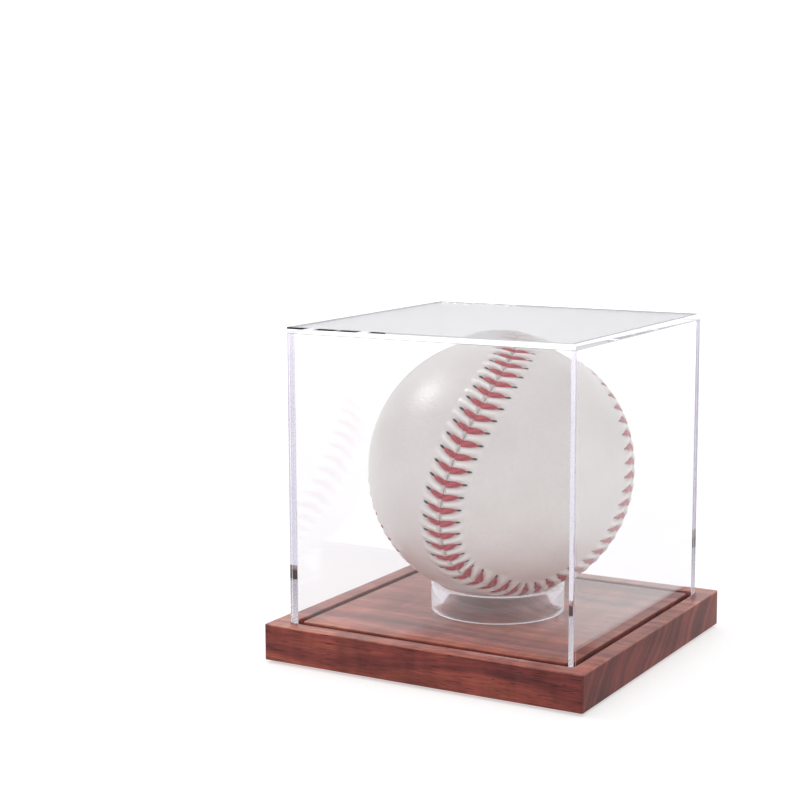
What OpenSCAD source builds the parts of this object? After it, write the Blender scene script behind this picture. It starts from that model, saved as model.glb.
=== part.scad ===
// Desktop display case for one baseball.
// A grooved wooden base carries a clear ring, the ball sits on the ring,
// and a clear five-panel cover drops into the groove round it.
// Millimetres, +Z up. The origin is on the surface the case stands on,
// under the middle of the base. -Y is the front.

/* [Base] */
// Side of the square wooden board
base_side = 97; // [95:0.5:120]
// Thickness of the wooden board
base_t = 10.2; // [8:0.1:20]
// Radius of the board's upright corners
base_corner_r = 0.6; // [0.5:0.1:3]
// Depth of the groove that the cover stands in
groove_depth = 3; // [2:0.1:5]
// Play between the cover's walls and the groove's outer side
groove_play_out = 0.5; // [0.45:0.05:0.8]
// Play between the cover's walls and the groove's inner side
groove_play_in = 1; // [0.45:0.05:1.2]
// Radius that the routing bit leaves in the groove's outer corners
groove_corner_r = 1.5; // [0.5:0.1:1.5]

/* [Foot pads] */
// Diameter of each self-adhesive pad
pad_d = 10; // [6:1:14]
// Thickness of each pad
pad_t = 0.8; // [0.5:0.1:2]
// Distance of a pad's centre from the nearest two sides of the board
pad_inset = 12; // [10:1:20]

/* [Cover] */
// Outer side of the square cover
cover_side = 86.4; // [85:0.1:88]
// Height of the cover, from its lower edge to its top
cover_h = 86; // [85:0.5:95]
// Thickness of every acrylic panel
panel_t = 1.8; // [1.5:0.1:3]

/* [Ring] */
// Inner diameter of the ring that holds the ball
ring_d = 34; // [30:0.5:40]
// Wall thickness of the ring
ring_wall = 2.1; // [1.5:0.1:3]
// Height of the ring
ring_h = 7.7; // [7:0.1:9]
// Play between the ball and the ring's upper inner edge
ring_play = 0.35; // [0.3:0.05:0.5]

/* [Ball] */
// Diameter of the ball over its leather
ball_d = 74; // [73:0.1:74]
// Thickness of the leather
leather_t = 1.27; // [1:0.01:1.4]
// Outer diameter of the fine finishing yarn, and so of all the windings
finish_d = 70.8; // [70:0.1:70.8]
// Outer diameter of the outer grey yarn
outer_grey_d = 69.8; // [69:0.1:69.8]
// Outer diameter of the white yarn
white_d = 66.2; // [65:0.1:67]
// Outer diameter of the inner grey yarn
inner_grey_d = 62.7; // [60:0.1:63]
// Outer diameter of the red rubber shell
red_d = 34.9; // [33:0.1:36]
// Outer diameter of the two black rubber shells
black_d = 28.4; // [26:0.1:30]
// Diameter of the cork core
cork_d = 20.6; // [18:0.1:22]
// Thickness of the rubber gasket between the two black shells
gasket_t = 1.6; // [1:0.1:2.5]
// Clearance between one layer and the next
layer_gap = 0.1; // [0.05:0.01:0.15]

/* [Seam] */
// Angle that the seam swings up and down from the ball's own equator
seam_swing = 75; // [70:0.5:80]
// How much the tops of the swings are flattened, in degrees
seam_flatten = 7; // [3:0.5:9]
// Angle that the seam sways sideways
seam_sway = 23; // [18:0.5:26]
// Width of the slit between the two leather panels
seam_slit = 0.24; // [0.16:0.02:0.4]
// Number of V-shaped double stitches
stitch_pairs = 108; // [80:1:108]
// Distance from the seam to the hole that a stitch comes out of
stitch_reach = 5.2; // [3:0.1:5.5]
// Distance that a stitch runs along the seam on its way to the hole
stitch_lean = 1.4; // [1:0.1:3]
// Where the first stitch starts, as a part of the distance between two stitches
stitch_start = 0.32; // [0:0.01:1]
// Diameter of the stitching thread
thread_d = 0.9; // [0.6:0.1:1]

/* [Way the ball lies] */
// Turn of the ball about the X axis
ball_roll = 10.8; // [-180:0.1:180]
// Turn of the ball about the Y axis
ball_pitch = -24.6; // [-180:0.1:180]
// Turn of the ball about the Z axis
ball_yaw = -127.3; // [-180:0.1:180]

/* [Hidden] */

$fn = 96;

// Height of the board's upper face
base_top = pad_t + base_t;
// Height of the groove's floor, where the cover stands
groove_floor = base_top - groove_depth;
// Half of the groove's outer and inner squares
groove_out = cover_side / 2 + groove_play_out;
groove_in = cover_side / 2 - panel_t - groove_play_in;
// Height of the four upright panels
wall_h = cover_h - panel_t;
// Inner side of the cover
cover_inner = cover_side - 2 * panel_t;

// Radius of the ball, and the height of its centre
ball_r = ball_d / 2;
ring_r = ring_d / 2;
ring_top = base_top + ring_h;
ball_z = ring_top + sqrt(pow(ball_r + ring_play, 2) - pow(ring_r, 2));

// The leather keeps a little inside its true thickness, clear of the yarn below
leather_in_r = ball_r - leather_t + layer_gap;
// Steps along the seam and across a leather panel
seam_steps = 60;
cross_steps = 18;
// Angle at the ball's centre that half of the slit covers
slit_angle = asin(seam_slit / 2 / ball_r);
// The thread lies half sunk in the leather
thread_r = thread_d / 2;
thread_sink = 0.32;
// Small step in the seam's own parameter, for its direction
tiny_turn = 0.5;

wood = [0.45, 0.22, 0.18];
pad_black = [0.08, 0.08, 0.08];
clear = [0.88, 0.93, 0.96, 0.3];
white_leather = [0.93, 0.92, 0.89];
stitch_red = [0.76, 0.16, 0.22];

// ---------- The line of the seam ----------

// Unit vector at polar angle p from +Z and azimuth a
function direction(p, a) = [sin(p) * cos(a), sin(p) * sin(a), cos(p)];

// Point of the seam on a unit ball; t runs from 0 to 720
function seam_point(t) = direction(
    90 - seam_swing * cos(t) + seam_flatten * cos(3 * t),
    t / 2 + seam_sway * sin(2 * t)
);

// Unit vector along the seam
function seam_along(t) =
    let (step = seam_point(t + tiny_turn) - seam_point(t - tiny_turn))
    step / norm(step);

// Point part of the way along the great circle from unit vector p to q
function on_arc(p, q, part) =
    let (whole = acos(max(-1, min(1, p * q))))
    (sin((1 - part) * whole) * p + sin(part * whole) * q) / sin(whole);

// Lengths of the seam's chords, summed up to each of the steps
function running_sum(v, i = 0, total = 0) =
    i == len(v) ? [total] : concat([total], running_sum(v, i + 1, total + v[i]));

// ---------- The base ----------

module rounded_square(side, r) {
    square([side - 2 * r, side], center = true);
    square([side, side - 2 * r], center = true);
    for (x = [-1, 1], y = [-1, 1])
        translate([x * (side / 2 - r), y * (side / 2 - r)])
            circle(r = r, $fn = 48);
}

module base_board() {
    color(wood)
        difference() {
            translate([0, 0, pad_t])
                linear_extrude(base_t)
                    rounded_square(base_side, base_corner_r);
            translate([0, 0, groove_floor])
                linear_extrude(groove_depth + 1)
                    difference() {
                        rounded_square(2 * groove_out, groove_corner_r);
                        square(2 * groove_in, center = true);
                    }
        }
}

module foot_pads() {
    spot = base_side / 2 - pad_inset;
    color(pad_black)
        for (x = [-1, 1], y = [-1, 1])
            translate([x * spot, y * spot, 0])
                cylinder(d = pad_d, h = pad_t, $fn = 64);
}

module ball_ring() {
    color(clear)
        translate([0, 0, base_top])
            difference() {
                cylinder(r = ring_r + ring_wall, h = ring_h);
                translate([0, 0, -1])
                    cylinder(r = ring_r, h = ring_h + 2);
            }
}

// ---------- The cover ----------

// A full-width upright panel whose outer face is towards -Y
module full_wall() {
    color(clear)
        translate([-cover_side / 2, -cover_side / 2, groove_floor])
            cube([cover_side, panel_t, wall_h]);
}

// A narrower upright panel between the two full ones, its outer face towards -X
module inset_wall() {
    color(clear)
        translate([-cover_side / 2, -cover_inner / 2, groove_floor])
            cube([panel_t, cover_inner, wall_h]);
}

module front_panel() {
    full_wall();
}

module back_panel() {
    mirror([0, 1, 0])
        full_wall();
}

module left_panel() {
    inset_wall();
}

module right_panel() {
    mirror([1, 0, 0])
        inset_wall();
}

// The top panel caps the four walls, so its edge shows all round
module top_panel() {
    color(clear)
        translate([-cover_side / 2, -cover_side / 2, groove_floor + wall_h])
            cube([cover_side, cover_side, panel_t]);
}

// ---------- The ball ----------

// Puts a piece made about the ball's own centre where the ball lies
module on_ring() {
    translate([0, 0, ball_z])
        rotate([ball_roll, ball_pitch, ball_yaw])
            children();
}

// Hollow ball between two diameters
module layer(outer_d, inner_d) {
    difference() {
        sphere(d = outer_d);
        sphere(d = inner_d);
    }
}

// One edge point of leather panel A, half a slit inside the seam.
// Panel A is symmetric about the plane x = 0, and t runs from -180 to 180
// along its +X edge, from the tip of one lobe to the tip of the other.
function edge_a(t) =
    let (
        p = seam_point(t),
        inward = cross(p, seam_along(t))
    )
    p * cos(slit_angle) + inward * sin(slit_angle);

// Row of unit vectors across panel A, from its +X edge to its -X edge
function row_a(t) =
    let (
        p = edge_a(t),
        q = [-p[0], p[1], p[2]]
    )
    [for (j = [0:cross_steps]) on_arc(p, q, j / cross_steps)];

// The leather shell: outer and inner grids, joined round the four edges
module leather_panel() {
    // the rows stop just short of the tips, where both edges meet
    tip = 4;
    rows = [for (i = [0:seam_steps]) row_a(-180 + tip + (360 - 2 * tip) * i / seam_steps)];
    n = cross_steps + 1;
    count = (seam_steps + 1) * n;
    outer = [for (row = rows, p = row) p * ball_r];
    inner = [for (row = rows, p = row) p * leather_in_r];
    skin = [for (i = [0:seam_steps - 1], j = [0:cross_steps - 1], half = [0, 1])
        let (a = i * n + j, b = a + 1, c = a + n, d = c + 1)
        half == 0 ? [a, b, c] : [b, d, c]];
    backing = [for (f = skin) [f[0] + count, f[2] + count, f[1] + count]];
    rim = concat(
        [for (j = [0:cross_steps]) j],
        [for (i = [1:seam_steps]) i * n + cross_steps],
        [for (j = [1:cross_steps]) seam_steps * n + cross_steps - j],
        [for (i = [1:seam_steps - 1]) (seam_steps - i) * n]
    );
    m = len(rim);
    edge = [for (k = [0:m - 1], half = [0, 1])
        let (a = rim[k], b = rim[(k + 1) % m])
        half == 0 ? [a, a + count, b] : [b, a + count, b + count]];
    polyhedron(points = concat(outer, inner), faces = concat(skin, backing, edge));
}

module leather_panel_a() {
    color(white_leather)
        on_ring()
            leather_panel();
}

// Panel B is panel A turned over and turned a quarter round the ball's own axis
module leather_panel_b() {
    color(white_leather)
        on_ring()
            rotate([0, 0, 90])
                mirror([0, 0, 1])
                    leather_panel();
}

// One straight stitch from the slit to its hole; side is 1 or -1
module stitch(t, side) {
    p = seam_point(t);
    along = seam_along(t);
    across = cross(p, along) * side;
    start_gap = 0.35;
    from = (p * ball_r + across * start_gap) / ball_r;
    to = (p * ball_r + across * stitch_reach - along * stitch_lean) / ball_r;
    lie_r = ball_r - thread_sink;
    a = from / norm(from) * lie_r;
    b = to / norm(to) * lie_r;
    span = b - a;
    translate(a)
        rotate([0, acos(span[2] / norm(span)), atan2(span[1], span[0])])
            cylinder(r = thread_r, h = norm(span), $fn = 16);
}

module seam_stitches() {
    // the seam's parameter at equal distances along it
    samples = 720;
    chords = [for (i = [0:samples - 1])
        norm(seam_point((i + 1) * 720 / samples) - seam_point(i * 720 / samples))];
    sums = running_sum(chords);
    pitch = sums[samples] / stitch_pairs;
    turns = [for (k = [0:stitch_pairs - 1]) lookup((k + stitch_start) * pitch,
        [for (i = [0:samples]) [sums[i], i * 720 / samples]])];
    color(stitch_red)
        on_ring()
            for (t = turns, side = [-1, 1])
                stitch(t, side);
}

module finishing_yarn() {
    color([0.92, 0.91, 0.86])
        on_ring()
            layer(finish_d, outer_grey_d + 2 * layer_gap);
}

module outer_grey_yarn() {
    color([0.48, 0.51, 0.56])
        on_ring()
            layer(outer_grey_d, white_d + 2 * layer_gap);
}

module white_yarn() {
    color([0.93, 0.92, 0.90])
        on_ring()
            layer(white_d, inner_grey_d + 2 * layer_gap);
}

module inner_grey_yarn() {
    color([0.42, 0.45, 0.52])
        on_ring()
            layer(inner_grey_d, red_d + 2 * layer_gap);
}

module red_rubber_shell() {
    color([0.66, 0.12, 0.10])
        on_ring()
            layer(red_d, black_d + 2 * layer_gap);
}

// Upper half of the black layer, ending at the gasket
module half_shell() {
    color([0.06, 0.06, 0.06])
        intersection() {
            layer(black_d, cork_d + 2 * layer_gap);
            translate([-black_d, -black_d, gasket_t / 2])
                cube([2 * black_d, 2 * black_d, black_d]);
        }
}

module upper_black_shell() {
    on_ring()
        half_shell();
}

module lower_black_shell() {
    on_ring()
        mirror([0, 0, 1])
            half_shell();
}

module rubber_gasket() {
    color([0.60, 0.10, 0.09])
        on_ring()
            difference() {
                cylinder(d = black_d - 4 * layer_gap, h = gasket_t, center = true);
                cylinder(d = cork_d + 2 * layer_gap, h = gasket_t + 2, center = true);
            }
}

module cork_core() {
    color([0.62, 0.45, 0.28])
        on_ring()
            sphere(d = cork_d);
}

base_board();
foot_pads();
ball_ring();
front_panel();
back_panel();
left_panel();
right_panel();
top_panel();
leather_panel_a();
leather_panel_b();
seam_stitches();
finishing_yarn();
outer_grey_yarn();
white_yarn();
inner_grey_yarn();
red_rubber_shell();
upper_black_shell();
lower_black_shell();
rubber_gasket();
cork_core();
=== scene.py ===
import math

import bmesh
import bpy
import numpy as np
from mathutils import Matrix, Vector


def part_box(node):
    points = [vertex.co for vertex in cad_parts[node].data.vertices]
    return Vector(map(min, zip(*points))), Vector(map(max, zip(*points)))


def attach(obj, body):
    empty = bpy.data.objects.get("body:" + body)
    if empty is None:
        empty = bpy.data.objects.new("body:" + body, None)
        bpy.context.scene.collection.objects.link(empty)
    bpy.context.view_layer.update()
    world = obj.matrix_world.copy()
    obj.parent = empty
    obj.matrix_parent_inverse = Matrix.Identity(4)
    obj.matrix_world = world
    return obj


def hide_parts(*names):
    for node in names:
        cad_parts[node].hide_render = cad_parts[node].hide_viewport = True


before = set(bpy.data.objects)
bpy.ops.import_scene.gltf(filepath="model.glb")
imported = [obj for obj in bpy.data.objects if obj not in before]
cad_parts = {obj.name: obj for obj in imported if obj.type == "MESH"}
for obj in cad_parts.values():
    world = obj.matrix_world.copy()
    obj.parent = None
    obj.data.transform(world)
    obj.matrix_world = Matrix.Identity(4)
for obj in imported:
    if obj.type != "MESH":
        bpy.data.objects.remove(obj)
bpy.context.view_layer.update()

# A baseball display case: grooved hardwood base, clear ring, baseball, clear five-panel cover.
# Lengths are in millimetres until they become mesh vertices, which are in metres.

MM = 0.001


def box_mm(node):
    """Lowest and highest corner of a CAD node, in millimetres."""
    low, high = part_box(node)
    return Vector(low) / MM, Vector(high) / MM


board_low, board_high = box_mm("base_board")
pads_high = box_mm("foot_pads")[1]
ring_low, ring_high = box_mm("ball_ring")
front_low, front_high = box_mm("front_panel")
top_high = box_mm("top_panel")[1]

# ---------------------------------------------------------------- sizes
BASE_HALF = board_high.x            # half the base's side
BASE_CORNER_R = 0.6
BASE_LOW, BASE_TOP = board_low.z, board_high.z
BASE_EASE = 0.22                    # rounding of the base's long edges
GROOVE_FLOOR = front_low.z          # the cover stands on it
GROOVE_PLAY_OUT, GROOVE_PLAY_IN = 0.5, 1.0    # on each side of the cover's wall
GROOVE_CORNER_R = 1.5
GROOVE_EASE = 0.12
COVER_HALF = front_high.x           # half the cover's side, outside
PANEL_T = front_high.y - front_low.y
WALL_TOP = front_high.z
COVER_TOP = top_high.z
PANEL_EDGE = 0.06                   # polished chamfer along a panel's edges
REST_GAP = 0.04                     # film of air under acrylic that stands on wood
RING_R = ring_high.x
RING_WALL = 2.1
RING_LOW, RING_TOP = ring_low.z, ring_high.z
RING_EDGE = 0.3
RING_SIDES = 160
PAD_R = 5.0
PAD_OFF = pads_high.x - PAD_R       # from the middle of the base to a pad's middle
PAD_SIDES = 40
PAD_TOP = pads_high.z
PAD_EDGE = 0.25

BALL_R = 37.0
BALL_PLAY = 0.35                    # between the ball and the ring's inner edge
BALL_Z = RING_TOP + math.sqrt((BALL_R + BALL_PLAY) ** 2 - (RING_R - RING_WALL) ** 2)
LEATHER_IN_R = 35.83                # inside of the leather
BALL_TURN = (10.8, -24.6, -127.3)   # the ball's attitude, about x, then y, then z

# the seam, a closed curve on the unit ball, t from 0 to 720 degrees
SEAM_SWING, SEAM_FLATTEN, SEAM_SWAY = 75.0, 7.0, 23.0
STITCHES = 108
STITCH_START = 0.32                 # place of the first stitch, in stitches
# a stitch's two legs: side 1 lies on panel A, side -1 on panel B
REACH = {1: 5.0, -1: 4.6}           # from the seam to the middle of the needle slit
LEAN = {1: 1.5, -1: 1.05}           # how far the slit lies back along the seam
LEG_SHIFT = {1: 0.10, -1: -0.22}    # the leg's middle at the seam, along it
LEG_WIDTH = {1: (1.00, 1.02, 0.94, 0.74, 0.46, 0.24),    # half widths, from seam to hole
             -1: (0.80, 0.84, 0.76, 0.60, 0.38, 0.20)}
LEG_AT = (0.0, 0.15, 0.40, 0.68, 0.88, 1.0)
THREAD_RISE = (-0.10, 0.02, 0.03, -0.02, -0.22, -0.62)  # the leg's axis above the ball's radius
THREAD_HALF_T = (0.30, 0.34, 0.32, 0.30, 0.24, 0.18)     # half thickness
PER_STITCH = 16                     # mesh steps along the seam for each stitch
RIBBON_W = 8.0                      # width of the finely meshed band beside the seam
RIBBON_STEPS = 26
RIBBON_GROWTH = 1.25                # rows lie closer together beside the seam
INNER_STEPS = 28                    # mesh steps across the plain middle of a panel
INSIDE_STEPS = 10                   # and across its hidden inside
SEAM_GAP = 0.06                     # from the seam to a stitch's inner end
THREAD_SHORT = 0.45                 # the thread sinks this far before the slit's middle
STRANDS, STRAND_TWIST, STRAND_SWELL = 3, 7.0, 0.07
LEG_RINGS, LEG_SIDES = 18, 14       # mesh of one leg
# the leather's relief beside the seam, in millimetres from the ball's radius
SEAM_LIFT = 0.10                    # general rise of the stitched band
RIDGE_RISE, CREASE_DEPTH = 0.36, 0.26    # between the stitches, and under their legs
VALLEY_DEPTH, VALLEY_W = 0.32, 0.14      # along the seam itself
HOLE_DEPTH, HOLE_W, HOLE_LENGTH = 0.55, 0.34, 0.85


# ---------------------------------------------------------------- mesh helpers
def mesh_object(name, verts, faces, smooth=False, sharp=None):
    """A new object from vertices in millimetres."""
    mesh = bpy.data.meshes.new(name)
    mesh.from_pydata([tuple(float(c) * MM for c in v) for v in verts], [], faces)
    mesh.validate()
    mesh.update()
    if smooth:
        mesh.shade_smooth()
    if sharp is not None:
        mesh.set_sharp_from_angle(angle=math.radians(sharp))
    obj = bpy.data.objects.new(name, mesh)
    bpy.context.scene.collection.objects.link(obj)
    return obj


def place(obj, body, slot, *nodes):
    """Rides obj on its body and lets it stand for CAD nodes, which it hides. Its slot is not used."""
    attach(obj, body)
    if nodes:
        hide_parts(*nodes)


def square_loop(half, corner_r, z, arc_steps=8):
    """Points round a square with rounded corners, at height z."""
    points = []
    for quarter in range(4):
        start = quarter * 90.0
        middle = math.radians(start + 45)
        cx = math.copysign(half - corner_r, math.cos(middle))
        cy = math.copysign(half - corner_r, math.sin(middle))
        for step in range(arc_steps + 1):
            angle = math.radians(start + 90.0 * step / arc_steps)
            points.append((cx + corner_r * math.cos(angle), cy + corner_r * math.sin(angle), z))
    return points


def circle(radius, z, sides, centre=(0.0, 0.0)):
    """Points round a circle at height z."""
    angles = [2 * math.pi * i / sides for i in range(sides)]
    return [(centre[0] + radius * math.cos(a), centre[1] + radius * math.sin(a), z)
            for a in angles]


def bridge(loops, close_ring=False):
    """Vertices and faces of a skin through loops with equal counts.

    Its first and last loops are capped, or with close_ring joined to each other.
    """
    count = len(loops[0])
    verts = [point for loop in loops for point in loop]
    faces = []
    rows = len(loops)
    for row in range(rows if close_ring else rows - 1):
        above = (row + 1) % rows
        for i in range(count):
            j = (i + 1) % count
            faces.append((row * count + i, row * count + j, above * count + j, above * count + i))
    if not close_ring:
        faces.append(tuple(reversed(range(count))))
        faces.append(tuple(range((rows - 1) * count, rows * count)))
    return verts, faces


# ---------------------------------------------------------------- material helpers
def add_node(tree, kind, inputs=None, **settings):
    """A new shader node. Its inputs are numbers, or outputs of other nodes."""
    made = tree.nodes.new(kind)
    for key, value in settings.items():
        setattr(made, key, value)
    for key, value in (inputs or {}).items():
        socket = made.inputs[key]
        if isinstance(value, bpy.types.NodeSocket):
            tree.links.new(value, socket)
        else:
            socket.default_value = value
    return made


class Shader:
    """A node material being built."""

    def __init__(self, name):
        self.material = bpy.data.materials.new(name)
        self.material.use_nodes = True
        self.tree = self.material.node_tree
        self.tree.nodes.clear()
        self.output = self.node("ShaderNodeOutputMaterial")

    def node(self, kind, inputs=None, **settings):
        return add_node(self.tree, kind, inputs, **settings)

    def math(self, operation, a, b=0.0, clamp=False):
        made = self.node("ShaderNodeMath", {0: a, 1: b}, operation=operation, use_clamp=clamp)
        return made.outputs[0]

    def place_mm(self):
        """The point on the object, in millimetres."""
        where = self.node("ShaderNodeTexCoord").outputs["Object"]
        return self.node("ShaderNodeVectorMath", {0: where, "Scale": 1.0 / MM},
                         operation="SCALE").outputs[0]

    def stretched(self, vector, scale):
        return self.node("ShaderNodeVectorMath", {0: vector, 1: scale},
                         operation="MULTIPLY").outputs[0]

    def noise(self, vector, detail=2.0, roughness=0.5, distortion=0.0):
        return self.node("ShaderNodeTexNoise", {
            "Vector": vector, "Scale": 1.0, "Detail": detail,
            "Roughness": roughness, "Distortion": distortion}).outputs[0]

    def ramp(self, factor, stops):
        """factor becomes a colour, by (position, colour) stops."""
        made = self.node("ShaderNodeValToRGB", {0: factor})
        elements = made.color_ramp.elements
        while len(elements) < len(stops):
            elements.new(0.5)
        for element, (position, colour) in zip(elements, stops):
            element.position = position
            element.color = (*colour, 1.0)
        return made.outputs[0]

    def grey_ramp(self, factor, low, high, at=(0.0, 1.0)):
        """factor from at[0] to at[1] becomes a value from low to high."""
        return self.node("ShaderNodeMapRange", {
            "Value": factor, "From Min": at[0], "From Max": at[1],
            "To Min": low, "To Max": high}).outputs[0]

    def mix(self, factor, a, b, blend="MIX"):
        made = self.node("ShaderNodeMix", data_type="RGBA", blend_type=blend)
        for socket, value in ((made.inputs[0], factor), (made.inputs[6], a), (made.inputs[7], b)):
            if isinstance(value, bpy.types.NodeSocket):
                self.tree.links.new(value, socket)
            elif hasattr(value, "__len__"):
                socket.default_value = (*value, 1.0)
            else:
                socket.default_value = value
        return made.outputs[2]

    def bump(self, height, strength, distance_mm, normal=None):
        inputs = {"Height": height, "Strength": strength, "Distance": distance_mm * MM}
        if normal is not None:
            inputs["Normal"] = normal
        return self.node("ShaderNodeBump", inputs).outputs[0]

    def principled(self, **inputs):
        names = {key.replace("_", " "): value for key, value in inputs.items()}
        made = self.node("ShaderNodeBsdfPrincipled", names)
        self.tree.links.new(made.outputs[0], self.output.inputs[0])
        return made


def grey(value):
    return (value, value, value, 1.0)


# ---------------------------------------------------------------- materials
def wood_material():
    """Oiled red-brown hardwood. The grain runs along x, and its growth layers lean."""
    s = Shader("base_wood")
    p = s.place_mm()
    warp = s.noise(s.stretched(p, (0.012, 0.030, 0.05)), detail=1.0)
    parts = s.node("ShaderNodeSeparateXYZ", {0: p})
    x, y, z = parts.outputs[0], parts.outputs[1], parts.outputs[2]
    across = s.math("SUBTRACT", s.math("MULTIPLY", y, 0.72), s.math("MULTIPLY", z, 0.70))
    across = s.math("ADD", across, s.math("MULTIPLY", warp, 12.0))

    def streaks(along_scale, across_scale, seed, detail):
        at = s.node("ShaderNodeCombineXYZ", {
            0: s.math("MULTIPLY", x, along_scale), 1: s.math("MULTIPLY", across, across_scale),
            2: seed}).outputs[0]
        return s.noise(at, detail=detail, roughness=0.6)

    layers = streaks(0.006, 0.085, 3.7, 2.0)
    bands = streaks(0.014, 0.38, 1.3, 3.0)
    fibres = s.noise(s.stretched(p, (0.11, 2.4, 2.4)), detail=3.0, roughness=0.65)
    pores = s.noise(s.stretched(p, (0.24, 4.2, 4.2)), detail=1.0)
    figure = s.noise(s.stretched(p, (0.15, 0.03, 0.06)), detail=2.0, distortion=0.4)
    tone = s.math("ADD", s.math("MULTIPLY", layers, 0.52), s.math("MULTIPLY", bands, 0.48))
    edge_grain = s.ramp(tone, (
        (0.34, (0.060, 0.017, 0.018)), (0.44, (0.115, 0.027, 0.026)),
        (0.51, (0.190, 0.040, 0.034)), (0.59, (0.260, 0.060, 0.044)),
        (0.69, (0.360, 0.105, 0.066))))
    # the top face gets a much lighter palette than the sides: painted light, for the stronger light that
    # falls on it from above
    top_grain_painted_light = s.ramp(tone, (
        (0.36, (0.230, 0.068, 0.062)), (0.45, (0.370, 0.112, 0.092)),
        (0.52, (0.500, 0.160, 0.118)), (0.64, (0.640, 0.245, 0.165))))
    upper = s.grey_ramp(z, 0.0, 1.0, (BASE_TOP - 0.5, BASE_TOP - 0.1))
    colour = s.mix(upper, edge_grain, top_grain_painted_light)
    colour = s.mix(1.0, colour, s.grey_ramp(fibres, 0.68, 1.32, (0.28, 0.72)), "MULTIPLY")
    colour = s.mix(1.0, colour, s.grey_ramp(figure, 0.76, 1.20, (0.33, 0.67)), "MULTIPLY")
    pore_mask = s.grey_ramp(pores, 1.0, 0.0, (0.30, 0.38))
    colour = s.mix(s.math("MULTIPLY", pore_mask, 0.75), colour, (0.022, 0.010, 0.010))
    relief = s.math("SUBTRACT", s.math("MULTIPLY", fibres, 0.5), pore_mask)
    s.principled(
        Base_Color=colour,
        Roughness=s.grey_ramp(fibres, 0.40, 0.54, (0.3, 0.7)),
        Specular_IOR_Level=0.2,
        Coat_Weight=s.math("MULTIPLY", upper, 0.7), Coat_Roughness=0.20,
        Normal=s.bump(relief, 0.35, 0.08))
    return s.material


def acrylic_material(name, through):
    """Clear polished acrylic. Light from lamps and from matt surfaces passes straight through."""
    s = Shader(name)
    p = s.place_mm()
    haze = s.noise(s.stretched(p, (0.05, 0.05, 0.05)), detail=2.0)
    tint = s.ramp(haze, ((0.3, (0.975, 0.973, 0.980)), (0.7, (0.981, 0.979, 0.985))))
    glass = s.node("ShaderNodeBsdfGlass", {"Color": tint, "Roughness": 0.0, "IOR": 1.49})
    clear = s.node("ShaderNodeBsdfTransparent", {"Color": grey(through)})
    path = s.node("ShaderNodeLightPath")
    matt = s.node("ShaderNodeMixShader", {
        0: path.outputs["Is Diffuse Ray"], 1: glass.outputs[0], 2: clear.outputs[0]})
    lamp = s.node("ShaderNodeMixShader", {
        0: path.outputs["Is Shadow Ray"], 1: matt.outputs[0], 2: clear.outputs[0]})
    s.tree.links.new(lamp.outputs[0], s.output.inputs[0])
    return s.material


def bond_material():
    """A bonded face inside the cover, where two panels are one piece of acrylic to the eye."""
    s = Shader("acrylic_bond")
    p = s.place_mm()
    haze = s.noise(s.stretched(p, (0.2, 0.2, 0.2)), detail=1.0)
    tint = s.ramp(haze, ((0.3, (0.994, 0.996, 0.996)), (0.7, (1.0, 1.0, 1.0))))
    clear = s.node("ShaderNodeBsdfTransparent", {"Color": tint})
    s.tree.links.new(clear.outputs[0], s.output.inputs[0])
    return s.material


def cut_edge_material():
    """The sawn edge of acrylic: white and matt, as light scatters in its fine scratches. Its emission is
    a painted glow that brightens the edge.
    """
    s = Shader("acrylic_cut_edge")
    p = s.place_mm()
    scratches = s.noise(s.stretched(p, (1.5, 1.5, 9.0)), detail=3.0, roughness=0.6)
    colour = s.ramp(scratches, ((0.3, (0.80, 0.80, 0.82)), (0.7, (0.93, 0.93, 0.94))))
    s.principled(Base_Color=colour, Roughness=s.grey_ramp(scratches, 0.5, 0.7, (0.3, 0.7)),
                 Specular_IOR_Level=0.3, Normal=s.bump(scratches, 0.2, 0.05),
                 Emission_Color=(0.95, 0.95, 1.0, 1.0), Emission_Strength=0.38)
    return s.material


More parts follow.
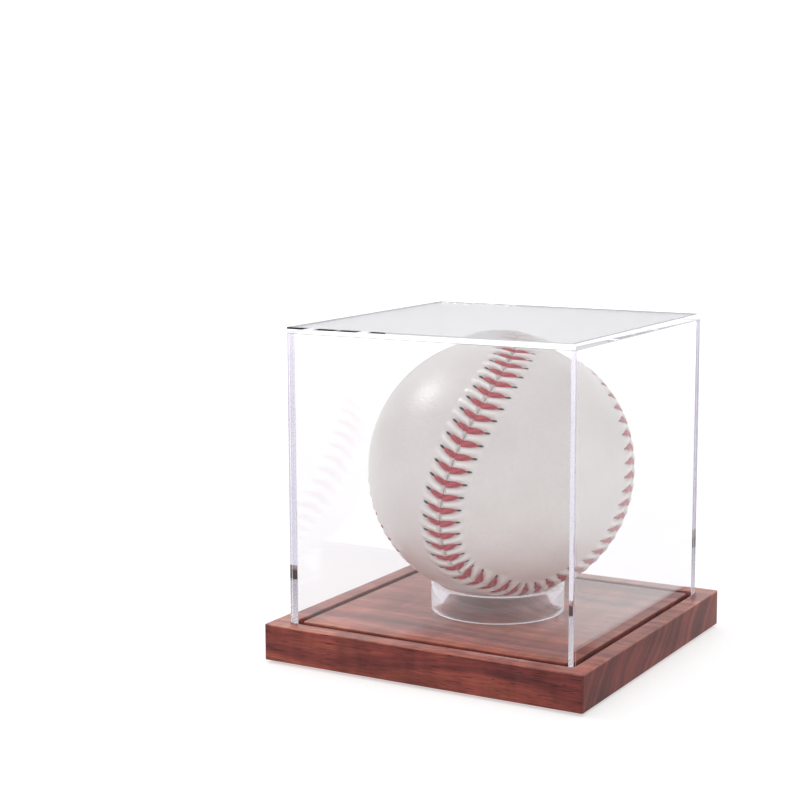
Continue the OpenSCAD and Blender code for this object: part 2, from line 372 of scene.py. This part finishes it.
def leather_material(side):
    """Smooth white cowhide with a fine grain, tinted and slit beside the stitches; its slits, seam line
    and creases carry painted shade and its padded ridges a painted highlight.
    """
    s = Shader("ball_leather_" + ("a" if side == 1 else "b"))
    reach = REACH[side]
    p = s.place_mm()
    cos_a = s.node("ShaderNodeAttribute", attribute_name="stitch_cos").outputs["Fac"]
    sin_a = s.node("ShaderNodeAttribute", attribute_name="stitch_sin").outputs["Fac"]
    off = s.node("ShaderNodeAttribute", attribute_name="seam_off").outputs["Fac"]
    # distance along the seam from the nearest stitch's axis, in millimetres
    along = s.math("MULTIPLY", s.math("ARCTAN2", sin_a, cos_a), SEAM_PITCH / (2 * math.pi))
    patches = s.noise(s.stretched(p, (0.07, 0.07, 0.07)), detail=3.0)
    grain = s.noise(s.stretched(p, (1.2, 1.2, 1.2)), detail=3.0, roughness=0.6)
    pores = s.node("ShaderNodeTexVoronoi", {
        "Vector": s.stretched(p, (1.25, 1.25, 1.25)), "Scale": 1.0}).outputs["Distance"]
    colour = s.ramp(patches, ((0.30, (0.800, 0.746, 0.724)), (0.70, (0.850, 0.800, 0.780))))
    colour = s.mix(1.0, colour, s.grey_ramp(grain, 0.97, 1.03, (0.3, 0.7)), "MULTIPLY")
    # dye from the waxed thread rubs off on the leather beside it
    near = s.grey_ramp(s.math("ABSOLUTE", along), 1.0, 0.0, (0.55, 1.15))
    within = s.grey_ramp(off, 1.0, 0.0, (reach - 0.9, reach + 0.6))
    stain = s.math("MULTIPLY", s.math("MULTIPLY", near, within), 0.38, clamp=True)
    colour = s.mix(stain, colour, (0.60, 0.20, 0.20))
    # the needle slit beyond a stitch's end, painted near black as painted shade in the hole, and the
    # line where the two panels meet
    slit_x = s.math("DIVIDE", along, 0.38)
    slit_y = s.math("DIVIDE", s.math("SUBTRACT", off, reach + 0.05), 0.95)
    slit_r = s.math("ADD", s.math("MULTIPLY", slit_x, slit_x), s.math("MULTIPLY", slit_y, slit_y))
    slit = s.grey_ramp(slit_r, 1.0, 0.0, (0.55, 1.15))
    colour = s.mix(slit, colour, (0.040, 0.028, 0.028))
    # the line where the two panels meet is painted darker: painted shade in the crevice of the seam
    line = s.grey_ramp(off, 1.0, 0.0, (0.02, 0.09))
    colour = s.mix(s.math("MULTIPLY", line, 0.45), colour, (0.30, 0.20, 0.19))
    relief = s.math("ADD", s.math("MULTIPLY", grain, 0.6), s.math("MULTIPLY", pores, 0.5))
    # the padded ridges between stitches are painted lighter and the creases beside the thread darker, a
    # painted highlight and painted shade; the same mask raises the ridges by bump
    padded = s.math("MULTIPLY", s.grey_ramp(cos_a, 1.0, 0.0, (-1.0, 0.6)),
                    s.grey_ramp(off, 1.0, 0.0, (reach - 1.4, reach + 2.2)))
    padded = s.math("MULTIPLY", padded, s.grey_ramp(off, 0.0, 1.0, (0.05, 0.9)))
    colour = s.mix(1.0, colour, s.grey_ramp(padded, 0.94, 1.12), "MULTIPLY")
    folds = s.bump(padded, 1.0, 0.75)
    s.principled(
        Base_Color=colour,
        Roughness=s.grey_ramp(grain, 0.28, 0.40, (0.3, 0.7)),
        Specular_IOR_Level=0.58, Sheen_Weight=0.08, Sheen_Roughness=0.5,
        Normal=s.bump(relief, 0.50, 0.16, folds))
    return s.material


def thread_material():
    """Waxed red thread of twisted strands."""
    s = Shader("stitch_thread")
    p = s.place_mm()
    twist = s.node("ShaderNodeAttribute", attribute_name="strand").outputs["Fac"]
    fuzz = s.noise(s.stretched(p, (5.0, 5.0, 5.0)), detail=2.0)
    # the grooves between the strands are painted darker than their crests: painted shade
    groove = s.math("MULTIPLY", s.math("ADD", twist, 1.0), 0.5)
    colour = s.ramp(groove, ((0.05, (0.27, 0.014, 0.026)), (0.6, (0.52, 0.040, 0.068))))
    colour = s.mix(1.0, colour, s.grey_ramp(fuzz, 0.80, 1.22, (0.3, 0.7)), "MULTIPLY")
    s.principled(
        Base_Color=colour, Roughness=s.grey_ramp(fuzz, 0.42, 0.60, (0.3, 0.7)),
        Specular_IOR_Level=0.35, Sheen_Weight=0.06, Sheen_Roughness=0.4,
        Normal=s.bump(fuzz, 0.25, 0.06))
    return s.material


def yarn_material(name, dark, light):
    """Wound yarn: fine wandering strands with a woolly surface."""
    s = Shader(name)
    p = s.place_mm()
    warp = s.noise(s.stretched(p, (0.06, 0.06, 0.06)), detail=1.0)
    wave = s.node("ShaderNodeTexWave", {
        "Vector": p, "Scale": 0.35, "Distortion": 14.0, "Detail": 2.0, "Detail Scale": 0.12})
    strands = wave.outputs["Fac"]
    fuzz = s.noise(s.stretched(p, (2.2, 2.2, 2.2)), detail=3.0)
    tone = s.math("ADD", s.math("MULTIPLY", strands, 0.6), s.math("MULTIPLY", warp, 0.4))
    colour = s.mix(tone, dark, light)
    colour = s.mix(1.0, colour, s.grey_ramp(fuzz, 0.8, 1.15, (0.3, 0.7)), "MULTIPLY")
    relief = s.math("ADD", strands, s.math("MULTIPLY", fuzz, 0.3))
    s.principled(
        Base_Color=colour, Roughness=s.grey_ramp(fuzz, 0.8, 0.95, (0.3, 0.7)),
        Sheen_Weight=0.2, Normal=s.bump(relief, 0.6, 0.4))
    return s.material


def rubber_material(name, dark, light):
    """Moulded rubber with a dull bloom."""
    s = Shader(name)
    p = s.place_mm()
    bloom = s.noise(s.stretched(p, (0.25, 0.25, 0.25)), detail=4.0, roughness=0.6)
    speck = s.noise(s.stretched(p, (3.0, 3.0, 3.0)), detail=2.0)
    colour = s.mix(s.grey_ramp(bloom, 0.0, 1.0, (0.3, 0.7)), dark, light)
    s.principled(
        Base_Color=colour, Roughness=s.grey_ramp(bloom, 0.5, 0.68, (0.3, 0.7)),
        Normal=s.bump(speck, 0.2, 0.06))
    return s.material


def cork_material():
    """Composition cork: pressed granules with dark gaps."""
    s = Shader("cork")
    p = s.place_mm()
    cells = s.node("ShaderNodeTexVoronoi", {"Vector": s.stretched(p, (0.9, 0.9, 0.9)), "Scale": 1.0})
    edge = s.node("ShaderNodeTexVoronoi", {
        "Vector": s.stretched(p, (0.9, 0.9, 0.9)), "Scale": 1.0}, feature="DISTANCE_TO_EDGE")
    tone = s.node("ShaderNodeSeparateColor", {0: cells.outputs["Color"]}).outputs[0]
    colour = s.mix(tone, (0.30, 0.15, 0.07), (0.58, 0.36, 0.19))
    gap = s.grey_ramp(edge.outputs["Distance"], 1.0, 0.0, (0.0, 0.08))
    colour = s.mix(s.math("MULTIPLY", gap, 0.8), colour, (0.07, 0.035, 0.02))
    s.principled(
        Base_Color=colour, Roughness=s.grey_ramp(tone, 0.75, 0.9),
        Normal=s.bump(edge.outputs["Distance"], 0.5, 0.3))
    return s.material


# ---------------------------------------------------------------- the base
def build_base():
    def eased_edge(z, up, steps=4):
        """Loops round the base's outside that ease its edge at height z, ending on that face."""
        loops = []
        for step in range(steps + 1):
            angle = math.radians(90.0 * step / steps)
            shift = BASE_EASE * (1 - math.cos(angle))
            rise = BASE_EASE * (1 - math.sin(angle))
            loops.append(square_loop(BASE_HALF - shift, BASE_CORNER_R - shift, z - up * rise))
        return loops

    loops = list(reversed(eased_edge(BASE_LOW, -1))) + eased_edge(BASE_TOP, 1)
    groove_out = COVER_HALF + GROOVE_PLAY_OUT
    groove_in = COVER_HALF - PANEL_T - GROOVE_PLAY_IN
    ease = GROOVE_EASE
    outer_r, inner_r = GROOVE_CORNER_R, GROOVE_CORNER_R * 0.4
    lip = ((ease, 0.0), (ease * 0.3, ease * 0.3), (0.0, ease))      # spread and depth
    for spread, depth in lip:
        loops.append(square_loop(groove_out + spread, outer_r + spread, BASE_TOP - depth))
    loops.append(square_loop(groove_out, outer_r, GROOVE_FLOOR))
    loops.append(square_loop(groove_in, inner_r, GROOVE_FLOOR))
    for spread, depth in reversed(lip):
        loops.append(square_loop(groove_in - spread, inner_r, BASE_TOP - depth))
    verts, faces = bridge(loops)
    board = mesh_object("wood_base", verts, faces, smooth=True, sharp=25)
    board.data.materials.append(wood_material())
    place(board, "base", "base_wood", "base_board")


def build_pads():
    profile = [(PAD_R * k, 0.0) for k in (0.15, 0.9)]
    profile += [(PAD_R - PAD_EDGE * (1 - math.sin(a)), PAD_EDGE * (1 - math.cos(a)))
                for a in (0.4, 0.8, 1.2, math.pi / 2)]
    profile += [(PAD_R, PAD_TOP)]
    verts, faces = [], []
    for sx in (-1, 1):
        for sy in (-1, 1):
            middle = (sx * PAD_OFF, sy * PAD_OFF)
            pad_verts, pad_faces = bridge([circle(radius, z, PAD_SIDES, middle)
                                           for radius, z in profile])
            start = len(verts)
            verts += pad_verts
            faces += [tuple(start + i for i in face) for face in pad_faces]
    pads = mesh_object("bumper_pads", verts, faces, smooth=True, sharp=40)
    pads.data.materials.append(
        rubber_material("pad_rubber", (0.016, 0.016, 0.018), (0.045, 0.045, 0.05)))
    place(pads, "base", "pad_rubber", "foot_pads")


def build_ring(clear, cut):
    inner, e = RING_R - RING_WALL, RING_EDGE
    low = RING_LOW + REST_GAP
    profile = [
        (inner + e * 0.4, low), (RING_R - e * 0.4, low),
        (RING_R, low + e * 0.4), (RING_R, RING_TOP - e),
        (RING_R - e * 0.3, RING_TOP - e * 0.3), (RING_R - e, RING_TOP),
        (inner + e, RING_TOP), (inner + e * 0.3, RING_TOP - e * 0.3),
        (inner, RING_TOP - e), (inner, low + e * 0.4),
    ]
    verts, faces = bridge([circle(radius, z, RING_SIDES) for radius, z in profile],
                          close_ring=True)
    ring = mesh_object("ball_stand_ring", verts, faces, smooth=True, sharp=30)
    ring.data.materials.append(clear)
    ring.data.materials.append(cut)
    for face in ring.data.polygons:
        if face.normal.z < -0.9:
            face.material_index = 1
    place(ring, "base", "ring_acrylic", "ball_ring")


# ---------------------------------------------------------------- the cover
def chamfered_slab(low, high, edge):
    """Vertices and faces of a box whose twelve edges have a small chamfer."""
    corners = {}
    verts = []
    for sx in (0, 1):
        for sy in (0, 1):
            for sz in (0, 1):
                base = [(low, high)[s][axis] for axis, s in enumerate((sx, sy, sz))]
                sign = [1 - 2 * s for s in (sx, sy, sz)]
                for face_axis in range(3):
                    point = [base[a] + (0 if a == face_axis else sign[a] * edge) for a in range(3)]
                    corners[(sx, sy, sz, face_axis)] = len(verts)
                    verts.append(tuple(point))
    faces = []

    def key(axis, side, u, v):
        order = [0, 0, 0]
        order[axis] = side
        order[(axis + 1) % 3] = u
        order[(axis + 2) % 3] = v
        return tuple(order)

    for axis in range(3):
        for side in (0, 1):
            ring = [corners[(*key(axis, side, u, v), axis)] for u, v in ((0, 0), (1, 0), (1, 1), (0, 1))]
            faces.append(tuple(ring if side else reversed(ring)))
    for axis in range(3):               # edges that run along axis
        a, b = (axis + 1) % 3, (axis + 2) % 3
        for u in (0, 1):
            for v in (0, 1):
                quad = [corners[(*key(axis, 0, u, v), a)], corners[(*key(axis, 1, u, v), a)],
                        corners[(*key(axis, 1, u, v), b)], corners[(*key(axis, 0, u, v), b)]]
                faces.append(tuple(quad if u == v else reversed(quad)))
    for sx in (0, 1):
        for sy in (0, 1):
            for sz in (0, 1):
                tri = [corners[(sx, sy, sz, axis)] for axis in range(3)]
                faces.append(tuple(tri if (sx + sy + sz) % 2 else reversed(tri)))
    return verts, faces


def build_cover(clear, bond, cut):
    half, inside = COVER_HALF, COVER_HALF - PANEL_T
    low, high = GROOVE_FLOOR + REST_GAP, WALL_TOP
    slabs = {
        "front": ((-half, -half, low), (half, -inside, high)),
        "back": ((-half, inside, low), (half, half, high)),
        "left": ((-half, -inside, low), (-inside, inside, high)),
        "right": ((inside, -inside, low), (half, inside, high)),
        "top": ((-half, -half, high), (half, half, COVER_TOP)),
    }
    for side, (a, b) in slabs.items():
        verts, faces = chamfered_slab(a, b, PANEL_EDGE)
        panel = mesh_object("cover_" + side, verts, faces)
        panel.data.materials.append(clear)
        panel.data.materials.append(bond)
        panel.data.materials.append(cut)
        mark_bonds(panel, side, slabs)
        place(panel, "cover", "cover_acrylic", side + "_panel")


def mark_bonds(panel, side, slabs):
    """Cuts a panel's faces where its neighbours are bonded on, and gives those parts the bond."""
    bm = bmesh.new()
    bm.from_mesh(panel.data)
    edge = PANEL_EDGE
    cuts = []
    for other, (a, b) in slabs.items():
        if other != side:
            for axis in range(3):
                cuts += [(axis, a[axis] + edge), (axis, b[axis] - edge)]
    for axis, at in sorted(set(cuts)):
        normal = [0, 0, 0]
        normal[axis] = 1
        point = [0, 0, 0]
        point[axis] = at * MM
        bmesh.ops.bisect_plane(bm, geom=bm.verts[:] + bm.edges[:] + bm.faces[:],
                               dist=1e-7, plane_co=point, plane_no=normal)
    for face in bm.faces:
        centre = face.calc_center_median() / MM
        for other, (a, b) in slabs.items():
            if other == side:
                continue
            inside_other = all(a[axis] - 1e-3 <= centre[axis] <= b[axis] + 1e-3 for axis in range(3))
            on_face = max(abs(face.normal[axis]) for axis in range(3)) > 0.99
            if inside_other and on_face:
                face.material_index = 1
        if side != "top" and face.normal.z < -0.9:
            face.material_index = 2
    bmesh.ops.dissolve_degenerate(bm, dist=1e-7, edges=bm.edges[:])
    bm.to_mesh(panel.data)
    bm.free()


# ---------------------------------------------------------------- the ball
def seam_points(t):
    """Points of the seam on the unit ball, for an array of t in degrees."""
    polar = np.radians(90 - SEAM_SWING * np.cos(np.radians(t))
                       + SEAM_FLATTEN * np.cos(np.radians(3 * t)))
    azimuth = np.radians(t / 2 + SEAM_SWAY * np.sin(np.radians(2 * t)))
    return np.stack([np.sin(polar) * np.cos(azimuth), np.sin(polar) * np.sin(azimuth),
                     np.cos(polar)], axis=-1)


def seam_table():
    """Lengths along the seam, in millimetres on the ball, against t from -180 degrees."""
    t = np.linspace(-180.0, 540.0, 72001)
    steps = np.linalg.norm(np.diff(seam_points(t), axis=0), axis=1) * BALL_R
    return t, np.concatenate([[0.0], np.cumsum(steps)])


SEAM_T, SEAM_S = seam_table()
SEAM_LENGTH = SEAM_S[-1]
SEAM_PITCH = SEAM_LENGTH / STITCHES


def unit(v):
    return v / np.linalg.norm(v, axis=-1, keepdims=True)


def seam_frame(s):
    """Point, direction and inward direction (towards panel A) at lengths s along the seam."""
    t = np.interp(np.mod(s, SEAM_LENGTH), SEAM_S, SEAM_T)
    point = seam_points(t)
    along = unit(seam_points(t + 0.05) - seam_points(t - 0.05))
    return point, along, np.cross(point, along)


def ball_matrix():
    """The ball's attitude as a rotation matrix."""
    turn = Matrix.Identity(3)
    for axis, angle in zip("XYZ", BALL_TURN):
        turn = Matrix.Rotation(math.radians(angle), 3, axis) @ turn
    return np.array(turn)


BALL_MATRIX = ball_matrix()
SWAP = np.array([[0, -1, 0], [1, 0, 0], [0, 0, 1]]) @ np.diag([1, 1, -1])   # panel A onto B


def smooth_step(x, low, high):
    """0 below low, 1 above high, and a smooth rise between."""
    x = np.clip((x - low) / (high - low), 0, 1)
    return x * x * (3 - 2 * x)


def leather_height(phase, off, side):
    """How far the leather stands above the ball's radius. phase counts stitches, off is mm."""
    reach = REACH[side]
    swell = 0.5 - 0.5 * np.cos(2 * np.pi * phase)       # 1 midway between two stitches
    x = (phase - np.round(phase)) * SEAM_PITCH
    band = smooth_step(off, 0.15, 1.0) * (1 - smooth_step(off, reach - 0.9, RIBBON_W - 0.8))
    lift = SEAM_LIFT * (1 - smooth_step(off, reach - 1.5, RIBBON_W - 0.3))
    crease_w = np.interp(off, np.array(LEG_AT) * reach, LEG_WIDTH[side]) + 0.12
    pucker = RIDGE_RISE * band * swell - CREASE_DEPTH * band * np.exp(-(x / crease_w) ** 4)
    valley = -VALLEY_DEPTH * np.exp(-(off / VALLEY_W) ** 2)
    hole = -HOLE_DEPTH * np.exp(-(x / HOLE_W) ** 2 - ((off - reach) / HOLE_LENGTH) ** 2)
    return lift + pucker + valley + hole


def arcs(starts, ends, steps):
    """Unit vectors on the great circles between pairs of unit vectors, ends left out."""
    spread = np.arccos(np.clip((starts * ends).sum(axis=1), -1, 1))[:, None, None]
    k = (np.arange(1, steps) / steps)[None, :, None]
    return (np.sin((1 - k) * spread) * starts[:, None]
            + np.sin(k * spread) * ends[:, None]) / np.sin(spread)


class PanelGrid:
    """Vertex numbers of one skin of a leather panel: rows along the seam, then its middle."""

    def __init__(self, first, rows, steps, count):
        self.first, self.rows, self.steps, self.count = first, rows, steps, count

    def edge(self, row, i):
        return self.first + row * self.count + i % self.count

    def middle(self, i, k):
        """Vertex k of 0..steps on the arc from place i on the inner row to its mirror image."""
        if k == 0 or i % (self.count // 2) == 0:
            return self.edge(self.rows - 1, i)
        if k == self.steps:
            return self.edge(self.rows - 1, self.count - i)
        return self.first + self.rows * self.count + (i - 1) * (self.steps - 1) + k - 1

    def faces(self):
        made = []
        for row in range(self.rows - 1):
            for i in range(self.count):
                made.append((self.edge(row, i), self.edge(row, i + 1),
                             self.edge(row + 1, i + 1), self.edge(row + 1, i)))
        half = self.count // 2
        for i in range(1, half - 1):
            for k in range(self.steps):
                made.append((self.middle(i, k), self.middle(i + 1, k),
                             self.middle(i + 1, k + 1), self.middle(i, k + 1)))
        for k in range(self.steps):
            made.append((self.edge(self.rows - 1, 0), self.middle(1, k), self.middle(1, k + 1)))
            made.append((self.middle(half - 1, k), self.edge(self.rows - 1, half),
                         self.middle(half - 1, k + 1)))
        return made


def build_leather():
    """Two cowhide panels: a finely meshed, puckered band beside the seam, and a plain middle."""
    count = STITCHES * PER_STITCH
    half = count // 2
    s = np.arange(count) * SEAM_LENGTH / count
    point, along, inward = seam_frame(s)
    offs = np.linspace(0, 1, RIBBON_STEPS + 1) ** RIBBON_GROWTH * RIBBON_W
    angle = (offs / BALL_R)[:, None, None]
    ribbon = point[None] * np.cos(angle) + inward[None] * np.sin(angle)
    pairs = np.arange(1, half)
    middle = arcs(ribbon[-1][pairs], ribbon[-1][count - pairs], INNER_STEPS).reshape(-1, 3)
    inside = arcs(point[pairs], point[count - pairs], INSIDE_STEPS).reshape(-1, 3)
    outer = PanelGrid(0, RIBBON_STEPS + 1, INNER_STEPS, count)
    lining = PanelGrid(ribbon.shape[0] * count + len(middle), 1, INSIDE_STEPS, count)
    faces = outer.faces() + [tuple(reversed(face)) for face in lining.faces()]
    for i in range(count):
        faces.append((outer.edge(0, i + 1), outer.edge(0, i),
                      lining.edge(0, i), lining.edge(0, i + 1)))
    off_grid = np.broadcast_to(offs[:, None], (len(offs), count))
    centre = np.array([0, 0, BALL_Z])
    for side, letter, change in ((1, "a", np.eye(3)), (-1, "b", SWAP)):
        phase = (s[None] + LEAN[side] * offs[:, None] / REACH[side]) / SEAM_PITCH - STITCH_START
        radius = BALL_R + leather_height(phase, off_grid, side)
        verts = np.concatenate([(ribbon * radius[..., None]).reshape(-1, 3), middle * BALL_R,
                                point * LEATHER_IN_R, inside * LEATHER_IN_R])
        far = len(verts) - phase.size
        marks = {
            "stitch_cos": np.concatenate([np.cos(2 * np.pi * phase).ravel(), -np.ones(far)]),
            "stitch_sin": np.concatenate([np.sin(2 * np.pi * phase).ravel(), np.zeros(far)]),
            "seam_off": np.concatenate([off_grid.ravel(), np.full(far, RIBBON_W)]),
        }
        placed = verts @ change.T @ BALL_MATRIX.T + centre
        turned = faces if side == 1 else [tuple(reversed(face)) for face in faces]
        name = "ball_leather_" + letter
        mesh = bpy.data.meshes.new(name)
        mesh.from_pydata((placed * MM).tolist(), [], turned)
        mesh.update()
        for mark, values in marks.items():
            layer = mesh.attributes.new(mark, "FLOAT", "POINT")
            layer.data.foreach_set("value", values.astype(np.float32))
        mesh.shade_smooth()
        mesh.set_sharp_from_angle(angle=math.radians(55))
        mesh.materials.append(leather_material(side))
        panel = bpy.data.objects.new(name, mesh)
        bpy.context.scene.collection.objects.link(panel)
        place(panel, "ball", "ball_leather", "leather_panel_" + letter)


def build_stitches(material):
    """The V stitches: two flat legs each, of twisted strands, from the seam to a hole."""
    rings, sides = LEG_RINGS, LEG_SIDES
    u = np.linspace(0, 1, rings)
    around = 2 * np.pi * np.arange(sides) / sides
    verts, faces, strand = [], [], []
    for at in (np.arange(STITCHES) + STITCH_START) * SEAM_PITCH:
        for side in (1, -1):
            width = np.interp(u, LEG_AT, LEG_WIDTH[side])
            thick = np.interp(u, LEG_AT, THREAD_HALF_T)
            rise = np.interp(u, LEG_AT, THREAD_RISE)
            point, along, across = (v[0] for v in seam_frame(np.array([at])))
            across = across * side
            off = SEAM_GAP + (REACH[side] - THREAD_SHORT - SEAM_GAP) * u
            back = LEAN[side] * off / REACH[side] - LEG_SHIFT[side] * (1 - u) ** 2
            travel = np.hypot(off, back) / BALL_R
            heading = unit(across[None] * off[:, None] - along[None] * back[:, None])
            spine = point[None] * np.cos(travel)[:, None] + heading * np.sin(travel)[:, None]
            tangent = unit(np.gradient(spine, axis=0))
            sideways = np.cross(spine, tangent)
            start = len(verts)
            for r in range(rings):
                ridge = np.cos(STRANDS * around + STRAND_TWIST * u[r] * side)
                swell = 1 + STRAND_SWELL * ridge
                loop = (spine[r][None] * (BALL_R + rise[r])
                        + sideways[r][None] * (np.cos(around) * width[r] * swell)[:, None]
                        + spine[r][None] * (np.sin(around) * thick[r] * swell)[:, None])
                verts += list(loop)
                strand += list(ridge)
            for r in range(rings - 1):
                for i in range(sides):
                    j = (i + 1) % sides
                    a, b = start + r * sides, start + (r + 1) * sides
                    faces.append((a + j, a + i, b + i, b + j))
            faces.append(tuple(start + i for i in range(sides)))
            faces.append(tuple(start + (rings - 1) * sides + i for i in reversed(range(sides))))
    placed = np.array(verts) @ BALL_MATRIX.T + np.array([0, 0, BALL_Z])
    thread = mesh_object("seam_thread", placed.tolist(), faces, smooth=True, sharp=60)
    layer = thread.data.attributes.new("strand", "FLOAT", "POINT")
    layer.data.foreach_set("value", np.array(strand, dtype=np.float32))
    thread.data.materials.append(material)
    place(thread, "ball", "stitch_thread", "seam_stitches")


def finish_nodes():
    """Better materials for the CAD nodes that stay: the layers inside the ball."""
    cotton = yarn_material("cotton_yarn", (0.55, 0.50, 0.42), (0.80, 0.76, 0.68))
    wool_grey = yarn_material("grey_wool", (0.14, 0.14, 0.15), (0.36, 0.36, 0.37))
    wool_white = yarn_material("white_wool", (0.52, 0.50, 0.45), (0.78, 0.76, 0.71))
    red = rubber_material("red_rubber", (0.30, 0.028, 0.024), (0.46, 0.06, 0.05))
    black = rubber_material("black_rubber", (0.012, 0.012, 0.013), (0.04, 0.04, 0.042))
    cork = cork_material()
    looks = {
        "finishing_yarn": cotton, "outer_grey_yarn": wool_grey, "white_yarn": wool_white,
        "inner_grey_yarn": wool_grey, "red_rubber_shell": red, "rubber_gasket": red,
        "upper_black_shell": black, "lower_black_shell": black, "cork_core": cork,
    }
    for node, look in looks.items():
        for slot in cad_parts[node].material_slots:
            slot.material = look


# ---------------------------------------------------------------- camera, floor, light
CAM_AZIMUTH, CAM_ELEVATION, CAM_ROLL = 30.27, 8.42, -0.26
CAM_DISTANCE = 517.4
CAM_LOOK = Vector((-32.7, 0.0, 68.9))
CAM_LENS, CAM_SENSOR = 79.5, 36.0
# the studio's light by direction: a way, the cosines where a lobe starts and is full, its strength
STUDIO_BASE = 0.14
STUDIO_LOBES = (
    ((-0.50, 0.86, 0.0), 0.50, 0.90, 1.02),      # white backdrop behind the case
    ((0.40, -0.90, 0.1), 0.10, 0.90, 0.36),      # behind the camera
    ((0.90, -0.10, 0.3), 0.20, 0.90, 0.22),      # right
    ((0.0, 0.0, 1.0), 0.20, 0.95, 0.68),         # ceiling
    ((0.50, 0.86, 0.10), 0.955, 0.985, -0.30),   # a black card, behind on the right
    ((-0.50, 0.86, 0.13), 0.93, 0.985, -0.48),   # the backdrop's dimmer part, above the floor
)
STUDIO_DIRECT = 1.16                # where the camera looks straight at the backdrop
# softboxes: a name, the way to it, its distance and side in metres, its power in watts
SOFTBOXES = (
    ("key", (-0.72, -0.06, 0.69), 1.0, 0.18, 1.9),
    ("top", (0.10, -0.15, 1.0), 1.0, 0.8, 0.45),
)
FLOOR_HALF = 3000.0                 # half the floor's side
# glow of the floor near the case and far from it, and the distances between which it changes
FLOOR_NEAR, FLOOR_FAR, SWEEP_FROM_TO = 0.54, 0.90, (420.0, 820.0)


def camera_axes():
    a, e, r = (math.radians(v) for v in (CAM_AZIMUTH, CAM_ELEVATION, CAM_ROLL))
    back = Vector((math.sin(a) * math.cos(e), -math.cos(a) * math.cos(e), math.sin(e)))
    side = Vector((0, 0, 1)).cross(back).normalized()
    up = back.cross(side)
    return (side * math.cos(r) + up * math.sin(r), up * math.cos(r) - side * math.sin(r), back)


def build_camera():
    side, up, back = camera_axes()
    data = bpy.data.cameras.new("camera")
    data.lens = CAM_LENS
    data.sensor_width = CAM_SENSOR
    data.clip_start, data.clip_end = 0.01, 20.0
    camera = bpy.data.objects.new("camera", data)
    turn = Matrix((side, up, back)).transposed().to_4x4()
    camera.matrix_world = Matrix.Translation((CAM_LOOK + back * CAM_DISTANCE) * MM) @ turn
    bpy.context.scene.collection.objects.link(camera)
    bpy.context.scene.camera = camera


def soft_light(name, way, distance, side, power):
    """A square softbox that shines on the case, with distance and side in metres."""
    data = bpy.data.lights.new(name, "AREA")
    data.shape = "SQUARE"
    data.size = side
    data.energy = power
    light = bpy.data.objects.new(name, data)
    way = Vector(way).normalized()
    light.location = Vector((0, 0, 0.05)) + way * distance
    light.rotation_euler = way.to_track_quat("Z", "Y").to_euler()
    bpy.context.scene.collection.objects.link(light)


def build_floor():
    verts = [(sx * FLOOR_HALF, sy * FLOOR_HALF, 0)
             for sx, sy in ((-1, -1), (1, -1), (1, 1), (-1, 1))]
    floor = mesh_object("studio_floor", verts, [(0, 1, 2, 3)])
    s = Shader("floor_paper")
    p = s.place_mm()
    mottle = s.noise(s.stretched(p, (0.02, 0.02, 0.02)), detail=3.0)
    colour = s.ramp(mottle, ((0.3, (0.60, 0.60, 0.60)), (0.7, (0.62, 0.62, 0.62))))
    # the sweep is lit on its own further back
    away = s.node("ShaderNodeVectorMath", {0: p}, operation="LENGTH").outputs["Value"]
    s.principled(Base_Color=colour, Roughness=s.grey_ramp(mottle, 0.75, 0.85),
                 Specular_IOR_Level=0.2, Emission_Color=grey(1.0),
                 Emission_Strength=s.grey_ramp(away, FLOOR_NEAR, FLOOR_FAR, SWEEP_FROM_TO))
    floor.data.materials.append(s.material)


def build_light():
    world = bpy.data.worlds.new("studio")
    bpy.context.scene.world = world
    world.use_nodes = True
    tree = world.node_tree
    tree.nodes.clear()
    where = add_node(tree, "ShaderNodeTexCoord").outputs["Generated"]
    total = STUDIO_BASE
    for way, start, full, strength in STUDIO_LOBES:
        facing = add_node(tree, "ShaderNodeVectorMath", {
            0: where, 1: Vector(way).normalized()}, operation="DOT_PRODUCT").outputs["Value"]
        lobe = add_node(tree, "ShaderNodeMapRange", {
            "Value": facing, "From Min": start, "From Max": full,
            "To Min": 0.0, "To Max": strength}, interpolation_type="SMOOTHSTEP").outputs[0]
        total = add_node(tree, "ShaderNodeMath", {0: lobe, 1: total}).outputs[0]
    direct = add_node(tree, "ShaderNodeLightPath").outputs["Is Camera Ray"]
    total = add_node(tree, "ShaderNodeMix", {0: direct, 2: total, 3: STUDIO_DIRECT}).outputs[0]
    shade = add_node(tree, "ShaderNodeBackground", {"Color": grey(1.0), "Strength": total})
    add_node(tree, "ShaderNodeOutputWorld", {0: shade.outputs[0]})
    for softbox in SOFTBOXES:
        soft_light(*softbox)


def set_look():
    scene = bpy.context.scene
    scene.view_settings.view_transform = "Standard"
    scene.view_settings.look = "None"
    cycles = scene.cycles
    cycles.max_bounces = 96
    cycles.diffuse_bounces = 4
    cycles.glossy_bounces = 96
    cycles.transmission_bounces = 96
    cycles.transparent_max_bounces = 128
    cycles.caustics_reflective = False
    cycles.caustics_refractive = False
    cycles.use_denoising = True


clear_cover = acrylic_material("cover_acrylic", 0.965)
clear_ring = acrylic_material("ring_acrylic", 0.965)
cut_edge = cut_edge_material()
build_camera()
build_floor()
build_light()
set_look()
build_base()
build_pads()
build_ring(clear_ring, cut_edge)
build_cover(clear_cover, bond_material(), cut_edge)
build_leather()
build_stitches(thread_material())
finish_nodes()
